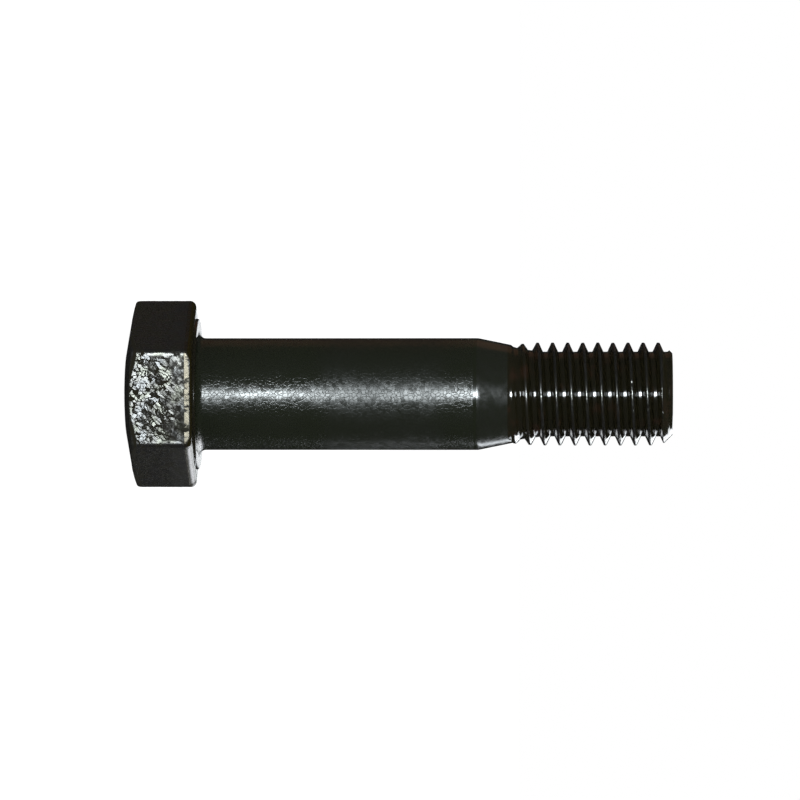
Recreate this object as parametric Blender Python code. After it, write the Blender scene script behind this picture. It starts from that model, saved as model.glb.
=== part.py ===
"""Hexagon fit bolt, M12 x 1.75 x 55, with a 13 mm fit shank.

The bolt is one piece of steel: a forged hexagon head with a low crown and a thin washer face, a
turned fit shank that is thicker than the thread, a short taper, and a rolled right-hand thread
with a run-out and a chamfered point. It stands on the flat disc in the middle of its head's outer
side, its axis on +Z, and the origin is the centre of that disc. Two of the hexagon's flats face
-Y and +Y.
"""

import math

import bmesh
import bpy

MM = 0.001

# Head
ACROSS_FLATS = 19.0 * MM
HEAD_HEIGHT = 8.4 * MM  # outer face to bearing face, washer face included
WASHER_FACE_HEIGHT = 0.3 * MM
WASHER_FACE_RADIUS = 8.75 * MM
OUTER_FACE_RADIUS = 4.8 * MM  # of the flat disc in the middle of the head's outer side
CROWN_ANGLE = math.radians(10.5)  # of the shallow cone from that disc out to the corners
CORNER_RADIUS = 0.6 * MM  # rounding of the six upright edges
UNDER_EDGE_RADIUS = 0.5 * MM  # rounding between the hexagon's sides and its underside

# Shank
LENGTH = 55.0 * MM  # under the head
THREADED_LENGTH = 22.5 * MM  # taper and thread together
FIT_RADIUS = 6.5 * MM
FILLET_RADIUS = 0.8 * MM
TAPER_LENGTH = 3.8 * MM
TAPER_END_RADIUS = 5.72 * MM

# Thread, M12 x 1.75, right-hand
PITCH = 1.75 * MM
CREST_RADIUS = 6.0 * MM
CREST_RISE = 3.0 * MM  # length over which the crests grow from the taper's end to full size
THREAD_DEPTH = 0.6134 * PITCH
CREST_WIDTH = PITCH / 8
FLANK_WIDTH = THREAD_DEPTH * math.tan(math.radians(30))
RUN_OUT = 3.5 * MM  # length over which the groove reaches its full depth
RUN_OUT_POWER = 0.6  # below 1, the groove deepens fastest at its start
GROOVE_HEIGHT = 46.9 * MM  # middle of one groove, on the side that faces -X
POINT_RADIUS = 4.75 * MM  # of the flat end, from which a 45 degree chamfer runs to the crests

# Fineness of the mesh
FLAT_STEPS = 3  # columns from the middle of a flat to the start of its corner's rounding
ARC_STEPS = 3  # steps along each small rounding
CROWN_RING_RADIUS = 9.4 * MM  # of the mesh ring on the crown, just inside the flats
SNAP = 0.06 * MM  # thread points this close to an end of the thread lie on it

FLAT_RADIUS = ACROSS_FLATS / 2
HEX_TOP = HEAD_HEIGHT - WASHER_FACE_HEIGHT
BOLT_TOP = HEAD_HEIGHT + LENGTH
TAPER_START = BOLT_TOP - THREADED_LENGTH
THREAD_START = TAPER_START + TAPER_LENGTH

STEEL_COLOUR = (0.014, 0.014, 0.012, 1.0)
STEEL_METALLIC = 0.6
STEEL_ROUGHNESS = 0.38


def column_angles():
    """Angles about +Z of the mesh's columns, from 0 up to just short of a full turn.

    In each sector of 60 degrees they mark the middle of the flat, the two ends of the corner's
    rounding and the corner itself, with even steps over the flat.
    """
    reach = math.atan(math.tan(math.pi / 6) * (1 - CORNER_RADIUS / FLAT_RADIUS))
    steps = [reach * n / FLAT_STEPS for n in range(FLAT_STEPS + 1)]
    sector = steps + [math.pi / 6] + [math.pi / 3 - s for s in reversed(steps[1:])]
    flat_normals = [math.pi / 6 + n * math.pi / 3 for n in range(6)]
    return sorted((normal + s) % math.tau for normal in flat_normals for s in sector)


def hexagon_radius(angle, inset):
    """Distance from the axis to the hexagon's rounded outline, drawn in by inset."""
    apothem = FLAT_RADIUS - inset
    from_corner = abs((angle + math.pi / 6) % (math.pi / 3) - math.pi / 6)
    from_flat = math.pi / 6 - from_corner
    half_flat = (apothem - CORNER_RADIUS) * math.tan(math.pi / 6)
    if apothem * math.tan(from_flat) <= half_flat + 1e-9:
        return apothem / math.cos(from_flat)
    centre = (apothem - CORNER_RADIUS) / math.cos(math.pi / 6)
    across = centre * math.sin(from_corner)
    return centre * math.cos(from_corner) + math.sqrt(CORNER_RADIUS**2 - across**2)


def arc_points(radius, start, end):
    """Points from angle start to angle end on a circle about the origin, as pairs."""
    turns = [start + (end - start) * n / ARC_STEPS for n in range(ARC_STEPS + 1)]
    return [(radius * math.cos(t), radius * math.sin(t)) for t in turns]


def turned_ring(angles, radius, height):
    return [(radius, height) for _ in angles]


def crown_height(radius):
    return (radius - OUTER_FACE_RADIUS) * math.tan(CROWN_ANGLE)


def head_rings(angles):
    """Rings of (radius, height) points, from the head's outer face to its bearing face."""
    rings = [
        turned_ring(angles, OUTER_FACE_RADIUS, 0.0),
        turned_ring(angles, CROWN_RING_RADIUS, crown_height(CROWN_RING_RADIUS)),
        [(r, crown_height(r)) for r in (hexagon_radius(a, 0.0) for a in angles)],
    ]
    for out, up in arc_points(UNDER_EDGE_RADIUS, 0.0, math.pi / 2):
        inset = UNDER_EDGE_RADIUS - out
        height = HEX_TOP - UNDER_EDGE_RADIUS + up
        rings.append([(hexagon_radius(a, inset), height) for a in angles])
    rings.append(turned_ring(angles, WASHER_FACE_RADIUS, HEX_TOP))
    rings.append(turned_ring(angles, WASHER_FACE_RADIUS, HEAD_HEIGHT))
    return rings


def shank_rings(angles):
    """Rings from the fillet under the head to the end of the taper, where the thread starts."""
    centre_radius = FIT_RADIUS + FILLET_RADIUS
    centre_height = HEAD_HEIGHT + FILLET_RADIUS
    rings = [
        turned_ring(angles, centre_radius + out, centre_height + up)
        for out, up in arc_points(FILLET_RADIUS, -math.pi / 2, -math.pi)
    ]
    rings.append(turned_ring(angles, FIT_RADIUS, TAPER_START))
    return rings


def thread_rows():
    """Where a pitch has its mesh rows, as (share of a pitch, share of the thread's depth).

    The first row is the end of the groove's bottom, and the rest follow up the flank, over the
    crest and down into the next groove.
    """
    bottom = PITCH - CREST_WIDTH - 2 * FLANK_WIDTH
    places = [bottom / 2, bottom / 2 + FLANK_WIDTH]
    places += [PITCH - place for place in reversed(places)]
    return list(zip([place / PITCH for place in places], [1.0, 0.0, 0.0, 1.0]))


def thread_point(height, groove_share):
    """(radius, height) of a thread point, held between the thread's start and the bolt's end."""
    if height < THREAD_START + SNAP:
        return TAPER_END_RADIUS, THREAD_START
    if height > BOLT_TOP - SNAP:
        return POINT_RADIUS, BOLT_TOP
    from_start = height - THREAD_START
    crest_share = min(1.0, from_start / CREST_RISE)
    crest = TAPER_END_RADIUS + (CREST_RADIUS - TAPER_END_RADIUS) * crest_share
    depth = THREAD_DEPTH * min(1.0, from_start / RUN_OUT) ** RUN_OUT_POWER
    chamfer = POINT_RADIUS + BOLT_TOP - height
    return min(crest - depth * groove_share, chamfer), height


def thread_columns(angles):
    """For each angle, its thread points from the thread's start to the bolt's end.

    Row n of a column is one pitch below row n + len(thread_rows()), and a whole turn carries a row
    one pitch up, which makes the helix right-handed.
    """
    rows = thread_rows()
    turns_below = math.ceil((GROOVE_HEIGHT - THREAD_START) / PITCH) + 2
    turns_above = math.ceil((BOLT_TOP - GROOVE_HEIGHT) / PITCH) + 2
    columns = []
    for angle in angles:
        base = GROOVE_HEIGHT + PITCH * (angle - math.pi) / math.tau
        heights = [
            (base + PITCH * (turn + share), depth)
            for turn in range(-turns_below, turns_above)
            for share, depth in rows
        ]
        columns.append([thread_point(height, depth) for height, depth in heights])
    return columns


def place_vertices(bm, column, angle):
    """Vertices of one column, where points that coincide share one vertex."""
    verts, last = [], None
    for radius, height in column:
        if (radius, height) != last:
            place = (radius * math.cos(angle), radius * math.sin(angle), height)
            vert = bm.verts.new(place)
        verts.append(vert)
        last = (radius, height)
    return verts


def add_face(bm, corners):
    """A face on the corners, less the repeats, if at least three are left."""
    kept = [v for n, v in enumerate(corners) if v is not corners[n - 1]]
    if len(kept) >= 3:
        bm.faces.new(kept)


def bolt_mesh():
    """The whole bolt as one closed skin, made of columns of points round the axis."""
    angles = column_angles()
    rings = head_rings(angles) + shank_rings(angles)
    threads = thread_columns(angles)
    pitch_rows = len(thread_rows())
    bm = bmesh.new()
    columns = [
        place_vertices(bm, [ring[n] for ring in rings] + threads[n], angle)
        for n, angle in enumerate(angles)
    ]
    count = len(rings)
    for n, right in enumerate(columns[1:] + columns[:1]):
        left = columns[n]
        shift = pitch_rows if n == len(columns) - 1 else 0
        for row in range(count):
            above = row + 1
            add_face(bm, (left[row], right[row], right[above], left[above]))
        for row in range(count, len(left) - 1 - shift):
            far = row + shift
            add_face(bm, (left[row], right[far], right[far + 1], left[row + 1]))
    bm.faces.new([column[0] for column in reversed(columns)])
    bm.faces.new([column[-1] for column in columns])
    mesh = bpy.data.meshes.new("hex_fit_bolt")
    bm.to_mesh(mesh)
    bm.free()
    return mesh


def black_steel():
    material = bpy.data.materials.new("black_oxide_steel")
    material.use_nodes = True
    shader = material.node_tree.nodes["Principled BSDF"]
    shader.inputs["Base Color"].default_value = STEEL_COLOUR
    shader.inputs["Metallic"].default_value = STEEL_METALLIC
    shader.inputs["Roughness"].default_value = STEEL_ROUGHNESS
    return material


def make_bolt():
    mesh = bolt_mesh()
    mesh.materials.append(black_steel())
    mesh.shade_smooth()
    mesh.set_sharp_from_angle(angle=math.radians(25))
    bolt = bpy.data.objects.new("hex_fit_bolt", mesh)
    bpy.context.collection.objects.link(bolt)


def main():
    for old in list(bpy.data.objects):
        bpy.data.objects.remove(old)
    make_bolt()


main()
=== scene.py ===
import math

import bmesh
import bpy
from mathutils import Matrix, Quaternion, Vector, noise


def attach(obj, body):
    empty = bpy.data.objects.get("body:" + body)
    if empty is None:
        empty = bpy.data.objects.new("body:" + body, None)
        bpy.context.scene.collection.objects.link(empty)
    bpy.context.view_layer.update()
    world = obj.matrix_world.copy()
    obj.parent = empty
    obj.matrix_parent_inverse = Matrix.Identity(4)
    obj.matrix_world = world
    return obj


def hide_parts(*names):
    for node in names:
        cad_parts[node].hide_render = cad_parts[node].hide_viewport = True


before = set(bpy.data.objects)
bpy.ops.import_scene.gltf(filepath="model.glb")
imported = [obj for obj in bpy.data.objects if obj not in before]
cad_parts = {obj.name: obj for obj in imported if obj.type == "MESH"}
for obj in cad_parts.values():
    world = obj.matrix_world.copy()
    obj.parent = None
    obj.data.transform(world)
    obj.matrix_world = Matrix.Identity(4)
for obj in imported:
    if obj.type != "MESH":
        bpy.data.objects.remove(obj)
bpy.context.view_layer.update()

# The CAD's bolt again, with a finer skin, worn edges and six finishes. It stands on its head, its
# axis on +Z. Lengths are in metres, and those inside the finishes are in millimetres.
MM = 0.001

# Head, as in the CAD
FLAT_RADIUS = 9.5 * MM
HEAD_HEIGHT = 8.4 * MM
HEX_TOP = 8.1 * MM
WASHER_RADIUS = 8.75 * MM
OUTER_FACE_RADIUS = 4.8 * MM
CROWN_SLOPE = math.tan(math.radians(10.5))
CORNER_RADIUS = 0.6 * MM

# Edges of the head, where the picture is finer than the CAD
UNDER_EDGE = 0.7 * MM
FRONT_UNDER_EDGE = 0.3 * MM  # along the flat that faces -Y
SIDE_UNDER_EDGE = 0.95 * MM  # along the next flat, whose side faces +X and a little -Y
FLAT_CROWN_EDGE = 0.12 * MM  # between the crown and the middle of a side
CORNER_CROWN_EDGE = 0.4 * MM  # between the crown and a corner
WASHER_EDGE = 0.1 * MM

# Shank, as in the CAD
BOLT_TOP = 63.4 * MM
FIT_RADIUS = 6.5 * MM
FILLET = 0.8 * MM
TAPER_START = 40.9 * MM
THREAD_START = 44.7 * MM
TAPER_END_RADIUS = 5.72 * MM

# Thread, as in the CAD, with rounded roots and crests and a cupped end
PITCH = 1.75 * MM
CREST_RADIUS = 6.0 * MM
CREST_RISE = 3.0 * MM
THREAD_DEPTH = 0.6134 * PITCH
RUN_OUT = 3.5 * MM
RUN_OUT_POWER = 0.6
GROOVE_HEIGHT = 46.9 * MM
POINT_RADIUS = 4.75 * MM
CUP_DEPTH = 0.25 * MM

# Fineness of the mesh
HALF_FLAT_STEPS = 19
CORNER_STEPS = 6
DISC_STEPS = 8
CROWN_STEPS = 11
SIDE_STEPS = 38
UNDER_EDGE_STEPS = 7
UNDERSIDE_STEPS = 3
WASHER_EDGE_STEPS = 3
BEARING_STEPS = 6
FILLET_STEPS = 8
SHANK_STEPS = 44
TAPER_STEPS = 10
END_STEPS = 12
CENTRE_RADIUS = 0.4 * MM  # of the smallest ring on the outer face and on the end face
CROWN_CIRCLE = 9.4 * MM  # the widest full circle of points on the crown
EASE = 0.15 * MM  # how far short of an edge the last ring before it lies
SNAP = 0.02 * MM  # thread points this close to an end of the thread lie on it

# Camera: level with a point of the axis that is nearer to the thread than to the head
CAMERA_DISTANCE = 0.65
CAMERA_FOOT = 50.4 * MM
AIM_HEIGHT = 31.77 * MM
AIM_ASIDE = 0.69 * MM
CAMERA_TURN = math.radians(3.2)
FRAME_WIDTH = 93.0 * MM
SENSOR = 36.0

# Floor: it lies a hair below the bolt's outer face
FLOOR_HALF = 6.0
FLOOR_GAP = 0.02 * MM


# ---------------------------------------------------------------- points of the skin
def column_angles():
    """Angles of the columns: even over each flat, close together round each corner."""
    reach = math.atan(math.tan(math.pi / 6) * (1 - CORNER_RADIUS / FLAT_RADIUS))
    flat = [reach * n / HALF_FLAT_STEPS for n in range(-HALF_FLAT_STEPS, HALF_FLAT_STEPS + 1)]
    turn = math.pi / 3 - 2 * reach
    corner = [reach + turn * n / CORNER_STEPS for n in range(1, CORNER_STEPS)]
    normals = [math.pi / 6 + n * math.pi / 3 for n in range(6)]
    return sorted((normal + s) % math.tau for normal in normals for s in flat + corner)


def hexagon_radius(angle, inset):
    """Distance from the axis to the hexagon's rounded outline, drawn in by inset."""
    apothem = FLAT_RADIUS - inset
    from_corner = abs((angle + math.pi / 6) % (math.pi / 3) - math.pi / 6)
    from_flat = math.pi / 6 - from_corner
    half_flat = (apothem - CORNER_RADIUS) * math.tan(math.pi / 6)
    if apothem * math.tan(from_flat) <= half_flat + 1e-9:
        return apothem / math.cos(from_flat)
    centre = (apothem - CORNER_RADIUS) / math.cos(math.pi / 6)
    across = centre * math.sin(from_corner)
    return centre * math.cos(from_corner) + math.sqrt(CORNER_RADIUS**2 - across**2)


def under_edge(angle):
    """Radius of the rounding between the hexagon's sides and its underside."""
    radius = UNDER_EDGE
    for normal, own in ((-90, FRONT_UNDER_EDGE), (-30, SIDE_UNDER_EDGE)):
        aside = abs((angle - math.radians(normal) + math.pi) % math.tau - math.pi)
        radius = own + (radius - own) * step_between(aside, math.radians(25), math.radians(29))
    return radius


def spaced(start, end, count):
    """count values from just after start up to end."""
    return [start + (end - start) * n / count for n in range(1, count + 1)]


def turned(angles, points):
    """A ring for each point, the same all round."""
    return [[point] * len(angles) for point in points]


def crown_height(radius):
    """Height of the crown at a distance from the axis."""
    return (radius - OUTER_FACE_RADIUS) * CROWN_SLOPE


def outer_face_rings(angles):
    """The flat disc the bolt stands on, and the crown round it."""
    radii = [CENTRE_RADIUS] + spaced(CENTRE_RADIUS, OUTER_FACE_RADIUS - EASE, DISC_STEPS)
    disc = [(r, 0.0) for r in radii]
    reach = CROWN_CIRCLE - OUTER_FACE_RADIUS
    shares = [0.04] + spaced(0.0, 1.0, CROWN_STEPS)
    radii = [OUTER_FACE_RADIUS + reach * share for share in shares]
    return turned(angles, disc + [(r, crown_height(r)) for r in radii])


def crown_edge(reach):
    """Size of the rounding between the crown and the sides: larger at the hexagon's corners."""
    growth = step_between(reach, 10.0 * MM, 10.8 * MM)
    return FLAT_CROWN_EDGE + (CORNER_CROWN_EDGE - FLAT_CROWN_EDGE) * growth


def hexagon_rings(angles):
    """The crown's corners and its edge, the sides and the rounded edge above them."""
    outline = [hexagon_radius(a, 0.0) for a in angles]
    meet = [crown_height(r) for r in outline]
    rings = []
    for share in (0.3, 0.65):
        radii = [CROWN_CIRCLE + (r - CROWN_CIRCLE) * share for r in outline]
        rings.append([(r, crown_height(r)) for r in radii])
    edges = [under_edge(a) for a in angles]
    tops = [HEX_TOP - edge for edge in edges]
    # the crown's edge is three points: on the crown, halfway round and on the side
    eases = [crown_edge(r) for r in outline]
    rings.append([(r - e * 0.62, crown_height(r - e * 0.62)) for r, e in zip(outline, eases)])
    rings.append([(r - e * 0.2, z + e * 0.24) for r, z, e in zip(outline, meet, eases)])
    starts = [z + e for z, e in zip(meet, eases)]
    for share in [0.0] + spaced(0.0, 1.0, SIDE_STEPS):
        rings.append(
            [
                (r, start + (top - start) * share)
                for r, start, top in zip(outline, starts, tops)
            ]
        )
    for turn in spaced(0.0, math.pi / 2, UNDER_EDGE_STEPS):
        inset, rise = 1 - math.cos(turn), math.sin(turn)
        rings.append(
            [
                (hexagon_radius(a, edge * inset), top + edge * rise)
                for a, edge, top in zip(angles, edges, tops)
            ]
        )
    return rings


def underside_rings(angles):
    """From the hexagon's underside over the raised washer face to the bearing face."""
    rings = []
    last = [hexagon_radius(a, under_edge(a)) for a in angles]
    for share in spaced(0.0, 1.0, UNDERSIDE_STEPS):
        rings.append([(r + (WASHER_RADIUS + 0.05 * MM - r) * share, HEX_TOP) for r in last])
    points = [(WASHER_RADIUS, HEX_TOP + 0.04 * MM), (WASHER_RADIUS, HEAD_HEIGHT - WASHER_EDGE)]
    for turn in spaced(0.0, math.pi / 2, WASHER_EDGE_STEPS):
        points.append(
            (
                WASHER_RADIUS - WASHER_EDGE * (1 - math.cos(turn)),
                HEAD_HEIGHT - WASHER_EDGE * (1 - math.sin(turn)),
            )
        )
    radii = spaced(WASHER_RADIUS - WASHER_EDGE, FIT_RADIUS + FILLET, BEARING_STEPS)
    points += [(r, HEAD_HEIGHT) for r in radii]
    return rings + turned(angles, points)


def shank_rings(angles):
    """The fillet and the fit shank."""
    points = []
    for turn in spaced(0.0, math.pi / 2, FILLET_STEPS):
        points.append(
            (
                FIT_RADIUS + FILLET * (1 - math.sin(turn)),
                HEAD_HEIGHT + FILLET * (1 - math.cos(turn)),
            )
        )
    heights = spaced(HEAD_HEIGHT + FILLET, TAPER_START - EASE, SHANK_STEPS)
    points += [(FIT_RADIUS, z) for z in heights]
    return turned(angles, points)


def taper_rings(angles):
    """The taper, up to just short of the thread, with the edge where it starts eased."""
    fall = (FIT_RADIUS - TAPER_END_RADIUS) / (THREAD_START - TAPER_START)
    points = [(FIT_RADIUS - EASE * fall / 4, TAPER_START)]
    for z in spaced(TAPER_START, THREAD_START, TAPER_STEPS)[:-1]:
        points.append((FIT_RADIUS - (z - TAPER_START) * fall, z))
    return turned(angles, points)


def groove_rows():
    """One pitch of the thread, as (share of a pitch, depth below the crest) pairs.

    Half of it is drawn from the groove's middle, and the other half mirrors it: the root and its
    rounding, the flank, and the crest's shoulder.
    """
    rows = [(0.0, THREAD_DEPTH), (0.2 * MM, THREAD_DEPTH - 0.003 * MM)]
    rows += [(0.25 * MM, THREAD_DEPTH - 0.016 * MM), (0.28 * MM, THREAD_DEPTH - 0.06 * MM)]
    foot, depth = rows[-1]
    shoulder = PITCH / 2 - 0.13 * MM
    for share in (0.33, 0.66, 0.9, 0.97):
        rows.append((foot + (shoulder - foot) * share, depth * (1 - share)))
    rows.append((PITCH / 2 - 0.1 * MM, 0.003 * MM))
    half = [(across / PITCH, low) for across, low in rows]
    other = [(1 - across, low) for across, low in reversed(half[1:])]
    return half + [(0.5, 0.0)] + other


def thread_point(height, depth):
    """(radius, height) of a thread point, held between the thread's start and the end."""
    if height < THREAD_START + SNAP:
        return TAPER_END_RADIUS, THREAD_START
    if height > BOLT_TOP - SNAP:
        return POINT_RADIUS, BOLT_TOP
    from_start = height - THREAD_START
    rise = CREST_RADIUS - TAPER_END_RADIUS
    crest = TAPER_END_RADIUS + rise * min(1.0, from_start / CREST_RISE)
    depth *= min(1.0, from_start / RUN_OUT) ** RUN_OUT_POWER
    return min(crest - depth, POINT_RADIUS + BOLT_TOP - height), height


def thread_column(angle, rows):
    """The thread's points at one angle, from its start to the bolt's end, as in the CAD."""
    base = GROOVE_HEIGHT + PITCH * (angle - math.pi) / math.tau
    below = math.ceil((GROOVE_HEIGHT - THREAD_START) / PITCH) + 2
    above = math.ceil((BOLT_TOP - GROOVE_HEIGHT) / PITCH) + 2
    return [
        thread_point(base + PITCH * (turn + share), depth)
        for turn in range(-below, above)
        for share, depth in rows
    ]


def end_rings(angles):
    """The slightly cupped end face."""
    radii = spaced(POINT_RADIUS, CENTRE_RADIUS, END_STEPS)
    cup = [(r, BOLT_TOP - CUP_DEPTH * (1 - (r / POINT_RADIUS) ** 2)) for r in radii]
    return turned(angles, cup)


# ---------------------------------------------------------------- the skin
HEAD, UNDERSIDE, SHANK, TAPER, THREAD, END = range(6)


def add_column(bm, points, angle):
    """Vertices of one column, where points that coincide share one vertex."""
    verts, last = [], None
    for radius, height in points:
        if (radius, height) != last:
            vert = bm.verts.new((radius * math.cos(angle), radius * math.sin(angle), height))
        verts.append(vert)
        last = (radius, height)
    return verts


def add_face(bm, corners, zone):
    """A face on the corners, less the repeats, if at least three are left."""
    kept = [v for n, v in enumerate(corners) if v is not corners[n - 1]]
    if len(kept) >= 3:
        face = bm.faces.new(kept)
        face.material_index = zone
        face.smooth = True


def build_skin():
    """The whole bolt as one closed mesh. Returns its bmesh."""
    angles = column_angles()
    head = outer_face_rings(angles) + hexagon_rings(angles)
    under = underside_rings(angles)
    shank, taper, end = shank_rings(angles), taper_rings(angles), end_rings(angles)
    plain = head + under + shank + taper
    rows = groove_rows()
    threads = [thread_column(angle, rows) for angle in angles]
    zones = [HEAD] * len(head) + [UNDERSIDE] * len(under) + [SHANK] * len(shank)
    zones += [TAPER] * len(taper) + [THREAD] * len(threads[0]) + [END] * len(end)
    first, last = len(plain), len(plain) + len(threads[0]) - 1
    bm = bmesh.new()
    columns = []
    for n, angle in enumerate(angles):
        points = [ring[n] for ring in plain] + threads[n] + [ring[n] for ring in end]
        columns.append(add_column(bm, points, angle))
    for n, right in enumerate(columns[1:] + columns[:1]):
        left = columns[n]
        turned_once = n == len(columns) - 1
        partner = list(range(len(zones)))
        if turned_once:  # one turn on, the same height is one pitch of rows further
            partner[first : last + 1] = [min(r + len(rows), last) for r in range(first, last + 1)]
        for row, zone in enumerate(zones[1:]):
            far, above = partner[row], partner[row + 1]
            add_face(bm, (left[row], right[far], right[above], left[row + 1]), zone)
    add_face(bm, [column[0] for column in reversed(columns)], HEAD)
    add_face(bm, [column[-1] for column in columns], END)
    return bm


def step_between(value, low, high):
    """0 up to low, 1 from high on, and a smooth step in between."""
    share = min(1.0, max(0.0, (value - low) / (high - low)))
    return share * share * (3 - 2 * share)


def drift(spot):
    """Three noises as a vector. noise.noise_vector would differ a little from run to run."""
    offsets = (Vector((9.3, -1.5, -8.0)), Vector((-7.1, 12.4, 3.2)), Vector((2.6, 5.9, -14.3)))
    return Vector([noise.noise(spot + offset) for offset in offsets])


def forging_relief(spot):
    """How far a point of the head lies below the plain form: dents, flakes and waviness."""
    p = spot / MM
    waves = noise.noise(p * 0.22 + Vector((3.1, 7.7, 1.3)))
    dents = max(0.0, noise.noise(p * 0.9 + Vector((11.0, 2.0, 5.0))) - 0.15)
    warp = drift(p * 0.8) * 0.5
    near, far = noise.voronoi(p * 1.5 + warp)[0][:2]
    seam = 1 - step_between(far - near, 0.02, 0.22)
    return (0.014 + 0.012 * waves + 0.05 * dents + 0.012 * seam) * MM


def crest_wear(spot):
    """How far the rolled crests fall short of full size, point by point."""
    p = spot / MM
    share = noise.noise(p * 0.5 + Vector((1.0, 9.0, 4.0)))
    nick = max(0.0, noise.noise(p * 1.3 + Vector((5.0, 5.0, 2.0))) - 0.42)
    return (0.02 + 0.02 * share + 0.35 * nick) * MM


def roughen(bm):
    """Moves points in along their normals, by what forging and rolling leave behind."""
    bm.normal_update()
    moves = []
    for vert in bm.verts:
        zones = {face.material_index for face in vert.link_faces}
        if HEAD in zones:
            fade = 1.0 - step_between(vert.co.z, HEX_TOP - 0.5 * MM, HEX_TOP - 0.05 * MM)
            crown = step_between(vert.normal.z, -0.6, -0.9)
            moves.append((vert, forging_relief(vert.co) * fade * (1 - 0.7 * crown)))
        elif THREAD in zones and TAPER not in zones and END not in zones:
            radius = math.hypot(vert.co.x, vert.co.y)
            top = step_between(radius, CREST_RADIUS - 0.12 * MM, CREST_RADIUS - 0.01 * MM)
            moves.append((vert, crest_wear(vert.co) * top))
    for vert, depth in moves:
        vert.co -= vert.normal * depth


# ---------------------------------------------------------------- materials
def node(tree, kind, inputs=None, **settings):
    """A node with its settings, its inputs linked where a socket is given, and set otherwise."""
    made = tree.nodes.new(kind)
    for name, value in settings.items():
        setattr(made, name, value)
    for key, value in (inputs or {}).items():
        if isinstance(value, bpy.types.NodeSocket):
            tree.links.new(value, made.inputs[key])
        else:
            made.inputs[key].default_value = value
    return made


def place(tree, stretch=(1.0, 1.0, 1.0)):
    """Object coordinates in millimetres, stretched."""
    coordinates = node(tree, "ShaderNodeTexCoord").outputs["Object"]
    scale = Vector([1000.0 * s for s in stretch])
    return node(
        tree, "ShaderNodeVectorMath", {0: coordinates, 1: scale}, operation="MULTIPLY"
    ).outputs[0]


def grain(tree, where, size, detail=2.0, roughness=0.5, distortion=0.0):
    """Noise from 0 to 1 whose features are about size millimetres across."""
    inputs = {
        "Vector": where,
        "Scale": 1.0 / size,
        "Detail": detail,
        "Roughness": roughness,
        "Distortion": distortion,
    }
    return node(tree, "ShaderNodeTexNoise", inputs).outputs["Fac"]


def cells(tree, where, size, feature="F1", output="Distance"):
    """Voronoi cells about size millimetres across."""
    inputs = {"Vector": where, "Scale": 1.0 / size}
    return node(tree, "ShaderNodeTexVoronoi", inputs, feature=feature).outputs[output]


def warped(tree, where, size, amount):
    """The coordinates, shifted here and there by up to amount millimetres."""
    inputs = {"Vector": where, "Scale": 1.0 / size, "Detail": 1.0}
    shift = node(tree, "ShaderNodeTexNoise", inputs).outputs["Color"]
    centred = node(
        tree, "ShaderNodeVectorMath", {0: shift, 1: (0.5, 0.5, 0.5)}, operation="SUBTRACT"
    ).outputs[0]
    factor = (2 * amount, 2 * amount, 2 * amount)
    return node(
        tree,
        "ShaderNodeVectorMath",
        {0: centred, 1: factor, 2: where},
        operation="MULTIPLY_ADD",
    ).outputs[0]


def span(tree, value, low, high, to_low=0.0, to_high=1.0):
    """to_low up to low, to_high from high on, and a smooth step in between."""
    inputs = {0: value, 1: low, 2: high, 3: to_low, 4: to_high}
    return node(
        tree, "ShaderNodeMapRange", inputs, interpolation_type="SMOOTHSTEP"
    ).outputs[0]


def maths(tree, operation, first, second=0.0):
    return node(tree, "ShaderNodeMath", {0: first, 1: second}, operation=operation).outputs[0]


def blend_colour(tree, share, low, high):
    made = node(tree, "ShaderNodeMix", data_type="RGBA")
    for index, value in ((0, share), (6, low), (7, high)):
        if isinstance(value, bpy.types.NodeSocket):
            tree.links.new(value, made.inputs[index])
        else:
            made.inputs[index].default_value = value
    return made.outputs[2]


def bump(tree, height, depth, normal=None):
    """A bump whose height runs from 0 to 1 over depth millimetres."""
    inputs = {"Height": height, "Distance": depth * MM, "Strength": 1.0}
    if normal:
        inputs["Normal"] = normal
    return node(tree, "ShaderNodeBump", inputs).outputs[0]


def new_material(name, ior):
    """A material, its node tree and its Principled shader."""
    material = bpy.data.materials.new(name)
    material.use_nodes = True
    shader = material.node_tree.nodes["Principled BSDF"]
    shader.inputs["IOR"].default_value = ior
    return material, material.node_tree, shader


def finish_with(tree, shader, colour, metallic, roughness, normal):
    for name, value in (
        ("Base Color", colour),
        ("Metallic", metallic),
        ("Roughness", roughness),
        ("Normal", normal),
    ):
        if isinstance(value, bpy.types.NodeSocket):
            tree.links.new(value, shader.inputs[name])
        else:
            shader.inputs[name].default_value = value


def height_on_axis(tree):
    """The point's height above the head's outer face, in millimetres."""
    return node(tree, "ShaderNodeSeparateXYZ", {0: place(tree)}).outputs["Z"]


def corner_reach(tree):
    """How far the point lies out towards the nearest corner of the hexagon, in millimetres."""
    where = place(tree)
    reaches = []
    for turn in (0, 60, 120):
        along = (math.cos(math.radians(turn)), math.sin(math.radians(turn)), 0.0)
        dot = node(tree, "ShaderNodeVectorMath", {0: where, 1: along}, operation="DOT_PRODUCT")
        reaches.append(maths(tree, "ABSOLUTE", dot.outputs["Value"]))
    return maths(tree, "MAXIMUM", maths(tree, "MAXIMUM", reaches[0], reaches[1]), reaches[2])


def times(tree, *values):
    product = values[0]
    for value in values[1:]:
        product = maths(tree, "MULTIPLY", product, value)
    return product


def plus(tree, *values):
    total = values[0]
    for value in values[1:]:
        total = maths(tree, "ADD", total, value)
    return total


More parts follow.
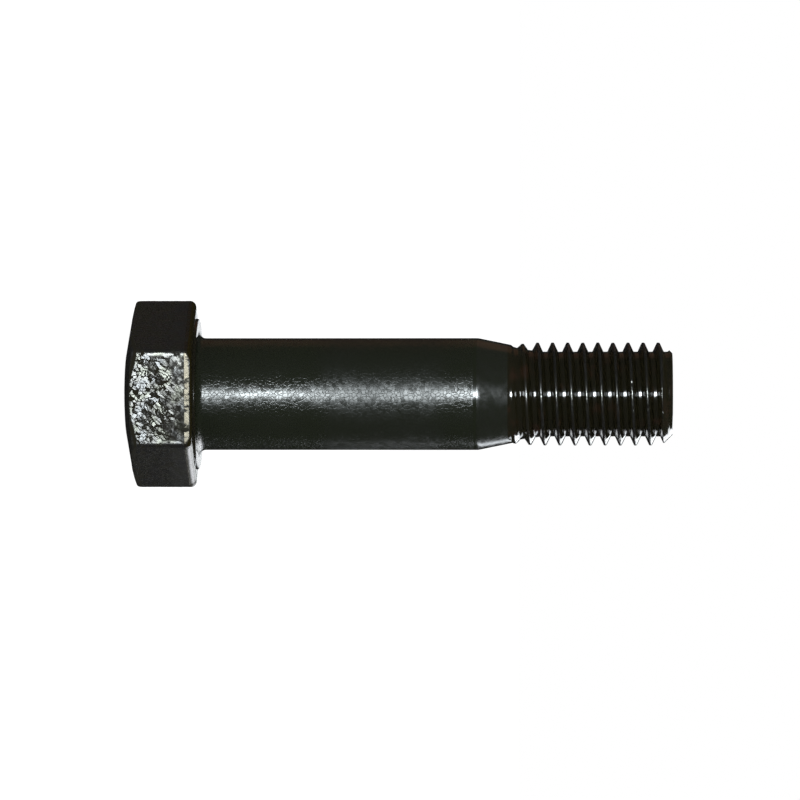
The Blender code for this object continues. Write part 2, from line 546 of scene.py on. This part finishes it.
SHANK_OXIDE = (0.0080, 0.0100, 0.0052, 1.0)
HEAD_OXIDE = (0.0085, 0.0066, 0.0010, 1.0)
THREAD_OXIDE = (0.0075, 0.0068, 0.0032, 1.0)
BROWN_OXIDE = (0.016, 0.009, 0.005, 1.0)
RUBBED_SCALE = (0.120, 0.117, 0.112, 1.0)
COOL_SCALE = (0.117, 0.117, 0.118, 1.0)
GREENISH_SCALE = (0.121, 0.121, 0.106, 1.0)
BEIGE_SCALE = (0.105, 0.093, 0.072, 1.0)
RUBBED_CREST = (0.20, 0.20, 0.19, 1.0)
HEAD_IOR = 1.4
SHANK_IOR = 1.75
TAPER_IOR = 2.8
OXIDE_IOR = 2.0

# Grains and cells of the finishes, in millimetres
SMALL_FLAKE = 0.44
LARGE_FLAKE = 0.4
CRYSTAL = 0.45

# Where the finishes change, in millimetres above the head's outer face. Each pair runs from where
# something is absent to where it is full.
RIM_IN, RIM_OUT = (7.16, 7.3), (7.85, 7.78)  # the rubbed rim along the flats
CLOUDS_IN = (7.4, 8.8)  # where the flakes turn to clouds, with five times the patches added
DULL_IN, DULL_OUT = (21.0, 25.0), (38.0, 35.0)  # the shank's duller stretch
PLAIN_IN = (40.3, 40.4)  # the shank's plain last edge before the taper


def cell_tone(tree, where, size, channel):
    """A value from 0 to 1 that is the same all over each cell."""
    colours = cells(tree, where, size, output="Color")
    return node(tree, "ShaderNodeSeparateColor", {0: colours}).outputs[channel]


def facets(tree, where, size, tilt):
    """The surface normal, tipped a little and differently in each cell."""
    colours = cells(tree, where, size, output="Color")
    normal = node(tree, "ShaderNodeNewGeometry").outputs["Normal"]
    tips = node(
        tree, "ShaderNodeVectorMath", {0: colours, 1: (0.5, 0.5, 0.5)}, operation="SUBTRACT"
    ).outputs[0]
    tipped = node(
        tree,
        "ShaderNodeVectorMath",
        {0: tips, 1: tilt, 2: normal},
        operation="MULTIPLY_ADD",
    ).outputs[0]
    return node(tree, "ShaderNodeVectorMath", {0: tipped}, operation="NORMALIZE").outputs[0]


def forged_scale():
    """The head: matt black forging scale, with flakes and slanting strokes rubbed bright."""
    material, tree, shader = new_material("forged_scale", HEAD_IOR)
    height = height_on_axis(tree)
    where = warped(tree, place(tree), 0.8, 0.3)
    slanted = node(
        tree,
        "ShaderNodeVectorRotate",
        {"Vector": where, "Angle": math.radians(-40)},
        rotation_type="Y_AXIS",
    ).outputs[0]
    strokes = node(
        tree, "ShaderNodeVectorMath", {0: slanted, 1: (1.0, 1.0, 0.3)}, operation="MULTIPLY"
    ).outputs[0]
    specks = grain(tree, where, 0.2, 3.0, 0.65)
    patches = grain(tree, place(tree), 1.7, 3.0)

    ring = cells(tree, where, SMALL_FLAKE)
    hollow = span(tree, cell_tone(tree, where, SMALL_FLAKE, 1), 0.35, 0.8, 0.0, 0.25)
    small = times(
        tree,
        span(tree, cells(tree, where, SMALL_FLAKE, "DISTANCE_TO_EDGE"), 0.02, 0.12),
        span(tree, cell_tone(tree, where, SMALL_FLAKE, 0), 0.05, 0.45),
        span(tree, maths(tree, "SUBTRACT", ring, hollow), -0.02, 0.07),
    )
    large = times(
        tree,
        span(tree, cells(tree, strokes, LARGE_FLAKE, "DISTANCE_TO_EDGE"), 0.0, 0.12, 0.05, 1.0),
        span(tree, cell_tone(tree, strokes, LARGE_FLAKE, 1), 0.05, 0.8, 0.42, 1.02),
    )
    side = plus(tree, times(tree, height, 0.16), patches)
    flakes = maths(
        tree,
        "MAXIMUM",
        times(tree, small, span(tree, side, 0.88, 1.04, 1.0, 0.0)),
        times(tree, large, span(tree, side, 0.74, 0.92)),
    )
    flakes = times(tree, flakes, span(tree, patches, 0.3, 0.48, 0.78, 1.03))
    flakes = plus(tree, flakes, span(tree, specks, 0.35, 0.75, -0.2, 0.25))
    flakes = span(tree, flakes, 0.1, 0.88)
    aside = node(tree, "ShaderNodeSeparateXYZ", {0: place(tree)}).outputs["X"]
    clouds = span(tree, grain(tree, where, 0.8, 3.0, 0.6), 0.37, 0.63, 0.34, 0.9)
    clouds = times(tree, clouds, span(tree, aside, -3.0, 4.0, 1.0, 0.6))
    cloudy = span(tree, plus(tree, height, times(tree, patches, 5.0)), *CLOUDS_IN, 0.0, 0.8)
    clear = maths(tree, "SUBTRACT", 1.0, cloudy)
    flakes = plus(tree, times(tree, flakes, clear), times(tree, clouds, cloudy))

    corner = span(tree, corner_reach(tree), 10.5, 10.75)
    corner = times(tree, corner, span(tree, patches, 0.42, 0.52))
    rim = times(tree, span(tree, height, *RIM_IN), span(tree, height, *RIM_OUT))
    breaks = grain(tree, place(tree, (1.0, 1.0, 0.5)), 0.7, 3.0, 0.6)
    rim = times(tree, rim, span(tree, breaks, 0.36, 0.5, 0.3, 1.0))
    rubbed = maths(tree, "MAXIMUM", flakes, corner)
    rubbed = times(tree, rubbed, maths(tree, "SUBTRACT", 1.0, times(tree, rim, 0.5)))
    worn_from = span(tree, corner_reach(tree), 8.6, 10.9, 0.85, 1.75)
    worn = span(tree, maths(tree, "SUBTRACT", height, worn_from), -0.05, 0.12)
    normal = node(tree, "ShaderNodeNewGeometry").outputs["Normal"]
    facing = node(tree, "ShaderNodeSeparateXYZ", {0: normal}).outputs["Z"]
    rounding = span(tree, facing, 0.15, 0.35)
    rubbed = times(
        tree,
        maths(tree, "MAXIMUM", rubbed, times(tree, rim, 0.88)),
        maths(tree, "SUBTRACT", 1.0, rounding),
        maths(tree, "MAXIMUM", worn, span(tree, facing, -0.35, -0.15, 0.5, 0.0)),
    )

    hues = grain(tree, place(tree), 1.4, 1.0)
    tint = blend_colour(tree, span(tree, hues, 0.35, 0.5), COOL_SCALE, RUBBED_SCALE)
    tint = blend_colour(tree, span(tree, hues, 0.52, 0.64), tint, GREENISH_SCALE)
    tint = blend_colour(tree, rim, tint, BEIGE_SCALE)
    colour = blend_colour(tree, rubbed, HEAD_OXIDE, tint)
    smooth = maths(tree, "MAXIMUM", rubbed, times(tree, rounding, 0.95))
    roughness = span(tree, smooth, 0.0, 0.9, 0.92, 0.27)
    relief = plus(tree, times(tree, rubbed, 0.6), times(tree, specks, 0.5))
    normal = bump(tree, times(tree, relief, maths(tree, "SUBTRACT", 1.0, rounding)), 0.013)
    # the metal's share grows so that the matt part stays equally dark all over the head
    bright = times(tree, rubbed, RUBBED_SCALE[0] / HEAD_OXIDE[0])
    metallic = maths(tree, "DIVIDE", bright, plus(tree, bright, 1.0))
    finish_with(tree, shader, colour, metallic, roughness, normal)
    return material


def machined_underside():
    """The washer face and the head's underside: turned rings in thin black oxide."""
    material, tree, shader = new_material("turned_underside", OXIDE_IOR)
    rings = grain(tree, place(tree, (0.2, 0.2, 1.0)), 0.25, 2.0)
    normal = bump(tree, rings, 0.0008)
    finish_with(tree, shader, THREAD_OXIDE, 0.0, 0.16, normal)
    return material


def satin_shank():
    """The fit shank: satin black oxide, whose small crystals glitter in its highlight."""
    material, tree, shader = new_material("satin_black_shank", SHANK_IOR)
    height = height_on_axis(tree)
    where = warped(tree, place(tree), 0.5, 0.2)
    crystals = grain(tree, where, 0.14, 2.0, 0.6)
    patches = grain(tree, place(tree, (1.0, 1.0, 0.45)), 3.0, 2.0)
    dull = times(tree, span(tree, height, *DULL_IN), span(tree, height, *DULL_OUT))
    base = plus(tree, 0.22, times(tree, dull, 0.10), span(tree, patches, 0.35, 0.65, -0.02, 0.05))
    seams = span(tree, cells(tree, where, CRYSTAL, "DISTANCE_TO_EDGE"), 0.0, 0.09, 1.0, 0.0)
    edge = span(tree, height, *PLAIN_IN)
    inner = maths(tree, "SUBTRACT", 1.0, edge)
    roughness = plus(tree, base, times(tree, seams, inner, 0.06), times(tree, edge, -0.06))
    tilt = plus(tree, span(tree, patches, 0.35, 0.65, 0.05, 0.08), times(tree, dull, 0.04))
    tilt = times(tree, inner, tilt)
    relief = times(tree, plus(tree, crystals, times(tree, seams, -1.6)), inner)
    normal = bump(tree, relief, 0.0035, facets(tree, where, CRYSTAL, tilt))
    finish_with(tree, shader, SHANK_OXIDE, 0.0, roughness, normal)
    return material


def turned_taper():
    """The taper: turned, plainer than the shank."""
    material, tree, shader = new_material("turned_taper", TAPER_IOR)
    blotches = grain(tree, place(tree), 0.8, 3.0, 0.6)
    normal = bump(tree, blotches, 0.006)
    roughness = span(tree, blotches, 0.35, 0.65, 0.17, 0.24)
    finish_with(tree, shader, SHANK_OXIDE, 0.0, roughness, normal)
    return material


def distance_from_axis(tree):
    """The point's distance from the bolt's axis, in millimetres."""
    across = place(tree, (1.0, 1.0, 0.0))
    return node(tree, "ShaderNodeVectorMath", {0: across}, operation="LENGTH").outputs["Value"]


def rolled_thread():
    """The thread: smooth grooves from rolling, and crests rubbed a little paler."""
    material, tree, shader = new_material("rolled_thread", OXIDE_IOR)
    radius = distance_from_axis(tree)
    lines = grain(tree, place(tree, (0.25, 0.25, 1.0)), 0.12, 2.0)
    blotches = grain(tree, place(tree), 2.2, 2.0)
    specks = grain(tree, place(tree), 0.3, 2.0)
    crest = times(tree, span(tree, radius, 5.88, 5.95), span(tree, specks, 0.35, 0.6, 0.1, 1.0))
    colour = blend_colour(tree, span(tree, blotches, 0.55, 0.75), THREAD_OXIDE, BROWN_OXIDE)
    colour = blend_colour(tree, times(tree, crest, crest), colour, RUBBED_CREST)
    groove = span(tree, blotches, 0.4, 0.6, 0.05, 0.11)
    roughness = maths(tree, "MAXIMUM", groove, span(tree, radius, 5.8, 5.9, 0.1, 0.24))
    normal = bump(tree, lines, 0.0012)
    finish_with(tree, shader, colour, span(tree, crest, 0.0, 0.5, 0.0, 0.95), roughness, normal)
    return material


def cropped_end():
    """The end face: sheared across, matt and slightly torn."""
    material, tree, shader = new_material("cropped_end", OXIDE_IOR)
    tears = grain(tree, place(tree, (0.35, 1.0, 1.0)), 0.5, 4.0, 0.6, 0.4)
    normal = bump(tree, tears, 0.03)
    finish_with(tree, shader, THREAD_OXIDE, 0.0, 0.42, normal)
    return material


# ---------------------------------------------------------------- the bolt
def make_bolt():
    bm = build_skin()
    roughen(bm)
    mesh = bpy.data.meshes.new("bolt")
    bm.to_mesh(mesh)
    bm.free()
    for make in (  # in the order of HEAD to END
        forged_scale,
        machined_underside,
        satin_shank,
        turned_taper,
        rolled_thread,
        cropped_end,
    ):
        mesh.materials.append(make())
    bolt = bpy.data.objects.new("bolt", mesh)
    bpy.context.collection.objects.link(bolt)
    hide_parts("hex_fit_bolt")
    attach(bolt, "root")


# ---------------------------------------------------------------- stage, camera, lights
def make_camera():
    """Looks across the bolt, turned so that the bolt's axis runs across the picture."""
    toward = Vector((-math.sin(CAMERA_TURN), -math.cos(CAMERA_TURN), 0.0))
    up = Vector((-math.cos(CAMERA_TURN), math.sin(CAMERA_TURN), 0.0))
    place_at = toward * CAMERA_DISTANCE + Vector((0, 0, CAMERA_FOOT)) - up * AIM_ASIDE
    target = Vector((0, 0, AIM_HEIGHT)) - up * AIM_ASIDE
    back = (place_at - target).normalized()
    right = up.cross(back).normalized()
    upright = back.cross(right)
    data = bpy.data.cameras.new("camera")
    data.sensor_width = SENSOR
    data.lens = SENSOR * CAMERA_DISTANCE / FRAME_WIDTH
    data.clip_start, data.clip_end = 0.05, 20.0
    camera = bpy.data.objects.new("camera", data)
    turn = Matrix((right, upright, back)).transposed().to_4x4()
    camera.matrix_world = Matrix.Translation(place_at) @ turn
    bpy.context.collection.objects.link(camera)
    bpy.context.scene.camera = camera


def soft_box(name, azimuth, elevation, distance, size, radiance, colour, roll=0.0):
    """A rectangular light that faces the bolt's middle. Angles in degrees, from +X and the level.

    size is (width, height) in metres, and roll turns the rectangle about its own middle.
    """
    data = bpy.data.lights.new(name, "AREA")
    data.shape = "RECTANGLE"
    data.size, data.size_y = size
    data.energy = radiance * math.pi * size[0] * size[1]
    data.color = colour
    light = bpy.data.objects.new(name, data)
    around, up = math.radians(azimuth), math.radians(elevation)
    out = Vector(
        (math.cos(around) * math.cos(up), math.sin(around) * math.cos(up), math.sin(up))
    )
    light.location = Vector((0, 0, AIM_HEIGHT)) + out * distance
    facing = (-out).to_track_quat("-Z", "Y") @ Quaternion((0, 0, 1), math.radians(roll))
    light.rotation_euler = facing.to_euler()
    light.visible_camera = False
    bpy.context.collection.objects.link(light)


def overhead():
    """An even, soft light from above, which fills the matt surfaces and leaves no reflection."""
    data = bpy.data.lights.new("overhead", "SUN")
    data.energy = 1.7
    data.angle = math.radians(70)
    light = bpy.data.objects.new("overhead", data)
    light.visible_glossy = False
    bpy.context.collection.objects.link(light)


def make_lights():
    """A key light for the front flat and the shank's band, and weaker ones for single strips."""
    soft_box("key", -92.6, -2.0, 1.1, (0.19, 0.46), 24.5, (0.89, 0.97, 1.0))
    soft_box("flanks", 74.0, 28.0, 0.9, (0.40, 0.40), 3.4, (0.94, 0.98, 1.0))
    soft_box("side_edge", 44.0, 24.0, 0.9, (0.42, 0.26), 6.8, (0.94, 0.96, 1.0))
    soft_box("taper_strip", 49.0, 9.8, 0.9, (0.76, 0.085), 2.9, (0.90, 0.95, 1.0), roll=11.0)
    soft_box("underside", 87.0, 2.9, 0.9, (0.17, 0.075), 1.8, (0.95, 0.98, 1.0))
    soft_box("warm", 135.0, 5.0, 0.9, (0.5, 0.6), 0.08, (1.0, 0.45, 0.25))
    overhead()


def make_stage():
    """A plain white floor that lights itself, so wide that its far edge is lost in the surround.

    It stays out of reflections and lights nothing else, so that the bolt is as dark as the photo's.
    """
    bm = bmesh.new()
    bmesh.ops.create_grid(bm, x_segments=8, y_segments=8, size=FLOOR_HALF)
    mesh = bpy.data.meshes.new("floor")
    bm.to_mesh(mesh)
    bm.free()
    material, tree, shader = new_material("pale_floor", 1.45)
    paint = grain(tree, place(tree), 3.0)
    finish_with(tree, shader, (0.05, 0.05, 0.05, 1.0), 0.0, 0.9, bump(tree, paint, 0.02))
    shader.inputs["Emission Color"].default_value = (1.0, 1.0, 1.0, 1.0)
    shader.inputs["Emission Strength"].default_value = 1.0
    mesh.materials.append(material)
    floor = bpy.data.objects.new("floor", mesh)
    floor.location.z = -FLOOR_GAP
    bpy.context.collection.objects.link(floor)
    floor.visible_glossy = False
    floor.visible_diffuse = False
    floor.visible_shadow = False


def make_world():
    """White behind everything, an even soft fill on matt surfaces, and nearly dark in gloss."""
    world = bpy.data.worlds.new("world")
    bpy.context.scene.world = world
    world.use_nodes = True
    tree = world.node_tree
    background = tree.nodes["Background"]
    gloss = node(tree, "ShaderNodeLightPath").outputs["Is Glossy Ray"]
    tree.links.new(span(tree, gloss, 0.0, 1.0, 1.0, 0.02), background.inputs["Strength"])
    background.inputs["Color"].default_value = (1.0, 1.0, 1.0, 1.0)


make_camera()
make_bolt()
make_stage()
make_lights()
make_world()
bpy.context.scene.view_settings.view_transform = "Standard"
